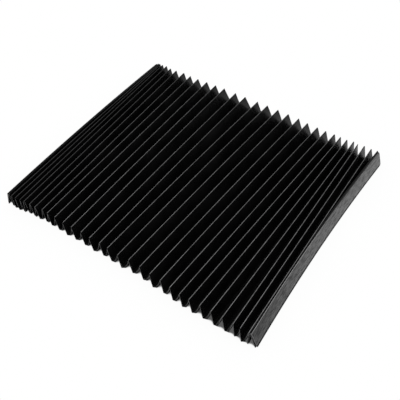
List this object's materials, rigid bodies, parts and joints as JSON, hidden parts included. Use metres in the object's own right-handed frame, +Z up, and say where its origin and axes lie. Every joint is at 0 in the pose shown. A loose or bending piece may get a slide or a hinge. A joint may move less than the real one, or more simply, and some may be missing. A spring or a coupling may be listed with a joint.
{
  "type": "bellows way cover",
  "caption": "Flat pleated bellows of black coated cloth between two stiff end strips, which slides open and shut to keep chips and dust off a machine's guide way.",
  "frame": {"origin": "bottom centre of the cover at rest, on the surface that its valley folds lie on", "axes": "+X from the fixed end to the moving end, +Y across the pleats, +Z up out of the ridges"},
  "size_m": [0.3574, 0.3, 0.0206],
  "materials": {
    "coated_cloth": "matte",
    "end_strip": "satin"
  },
  "bodies": {
    "fixed_end": {"pleated_cover": "coated_cloth", "fixed_end_strip": "end_strip"},
    "moving_end": {"moving_end_strip": "end_strip"}
  },
  "joints": [
    {"name": "cover_slide", "type": "slide", "parent": "fixed_end", "child": "moving_end", "axis": [1, 0, 0], "range_m": [-0.195, 0.17], "stiffness_N_per_m": 15, "deforming": ["pleated_cover"]}
  ]
}
